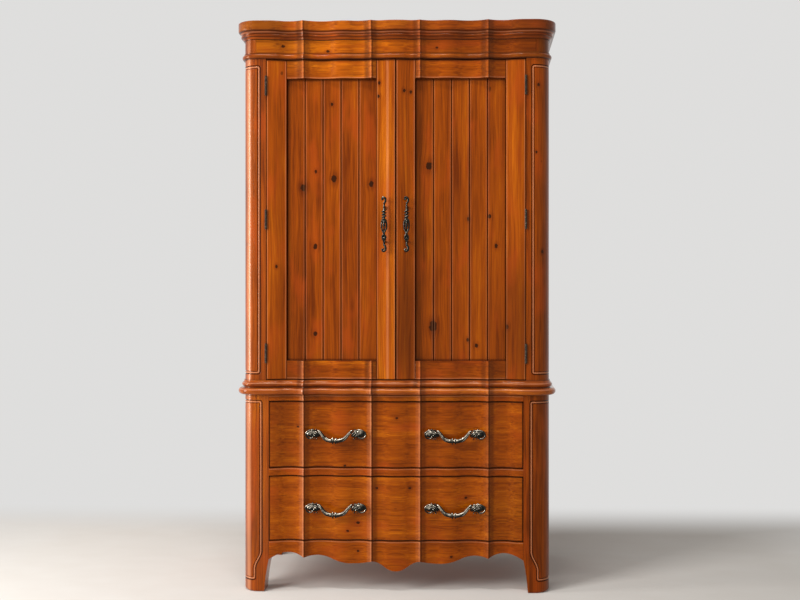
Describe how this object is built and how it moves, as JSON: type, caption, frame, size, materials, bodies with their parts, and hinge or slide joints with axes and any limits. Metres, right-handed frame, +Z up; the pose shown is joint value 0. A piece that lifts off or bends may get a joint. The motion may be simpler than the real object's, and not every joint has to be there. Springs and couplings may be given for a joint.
{
  "type": "tv armoire",
  "caption": "Tall pine armoire with a serpentine front: two plank doors over a shelved bay, two wide drawers below, shaped apron and feet.",
  "frame": {"origin": "at the floor, in the centre of the whole object's width and depth", "axes": "+Z up, the doors and drawers face -Y, +X to the right as seen from the front"},
  "size_m": [1.198, 0.617, 2.13],
  "materials": {
    "pine_frame": "glossy honey-amber varnish over knotty pine",
    "pine_planks": "satin amber varnish over knotty pine planks",
    "pine_posts": "glossy amber varnish over knotty pine, reddish at the rounded corners",
    "pine_moulding": "glossy amber varnish, darker in the hollows",
    "pine_drawer_front": "glossy honey-amber varnish over knotty pine",
    "pine_inside": "plain satin pine",
    "back_board": "plain matt board",
    "aged_metal": "aged dark patina with rubbed silvery highlights",
    "hinge_metal": "dark bronzed steel",
    "screw_metal": "zinc plated"
  },
  "bodies": {
    "case": {"cornice_cap": "pine_moulding", "cornice_cove": "pine_moulding", "frieze_front": "pine_moulding", "frieze_returns": "pine_moulding", "astragal_bead": "pine_moulding", "left_upper_post": "pine_posts", "right_upper_post": "pine_posts", "left_lower_post": "pine_posts", "right_lower_post": "pine_posts", "left_upper_side": "pine_frame", "right_upper_side": "pine_frame", "left_lower_side": "pine_frame", "right_lower_side": "pine_frame", "upper_rear_posts": "pine_frame", "rear_legs": "pine_frame", "upper_back_panel": "back_board", "lower_back_panel": "back_board", "case_top": "pine_inside", "cabinet_floor": "pine_moulding", "tv_shelf": "pine_inside", "adjustable_shelf": "pine_inside", "shelf_pins": "screw_metal", "door_stop_strip": "pine_inside", "case_hinge_leaves": "hinge_metal", "hinge_pins": "hinge_metal", "chest_top": "pine_moulding", "chest_top_rail": "pine_drawer_front", "drawer_divider_rail": "pine_drawer_front", "apron": "pine_drawer_front", "drawer_runners": "pine_inside", "drawer_guides": "pine_inside", "drawer_stops": "pine_inside"},
    "left_door": {"left_door_outer_stile": "pine_frame", "left_door_inner_stile": "pine_frame", "left_door_top_rail": "pine_frame", "left_door_bottom_rail": "pine_frame", "left_door_planks": "pine_planks", "left_door_hinge_leaves": "hinge_metal", "left_door_handle": "aged_metal", "left_door_handle_screws": "screw_metal"},
    "right_door": {"right_door_outer_stile": "pine_frame", "right_door_inner_stile": "pine_frame", "right_door_top_rail": "pine_frame", "right_door_bottom_rail": "pine_frame", "right_door_planks": "pine_planks", "right_door_hinge_leaves": "hinge_metal", "right_door_handle": "aged_metal", "right_door_handle_screws": "screw_metal"},
    "top_drawer": {"top_drawer_front": "pine_drawer_front", "top_drawer_sides": "pine_inside", "top_drawer_back": "pine_inside", "top_drawer_bottom": "pine_inside", "top_drawer_pulls": "aged_metal", "top_drawer_pull_screws": "screw_metal"},
    "bottom_drawer": {"bottom_drawer_front": "pine_drawer_front", "bottom_drawer_sides": "pine_inside", "bottom_drawer_back": "pine_inside", "bottom_drawer_bottom": "pine_inside", "bottom_drawer_pulls": "aged_metal", "bottom_drawer_pull_screws": "screw_metal"}
  },
  "joints": [
    {"name": "left_door_hinge", "type": "hinge", "parent": "case", "child": "left_door", "pos_m": [-0.485, -0.2813, 1.3905], "axis": [0, 0, -1], "range_deg": [0, 120]},
    {"name": "right_door_hinge", "type": "hinge", "parent": "case", "child": "right_door", "pos_m": [0.485, -0.2813, 1.3905], "axis": [0, 0, 1], "range_deg": [0, 120]},
    {"name": "top_drawer_slide", "type": "slide", "parent": "case", "child": "top_drawer", "axis": [0, -1, 0], "range_m": [0, 0.36]},
    {"name": "bottom_drawer_slide", "type": "slide", "parent": "case", "child": "bottom_drawer", "axis": [0, -1, 0], "range_m": [0, 0.36]}
  ]
}
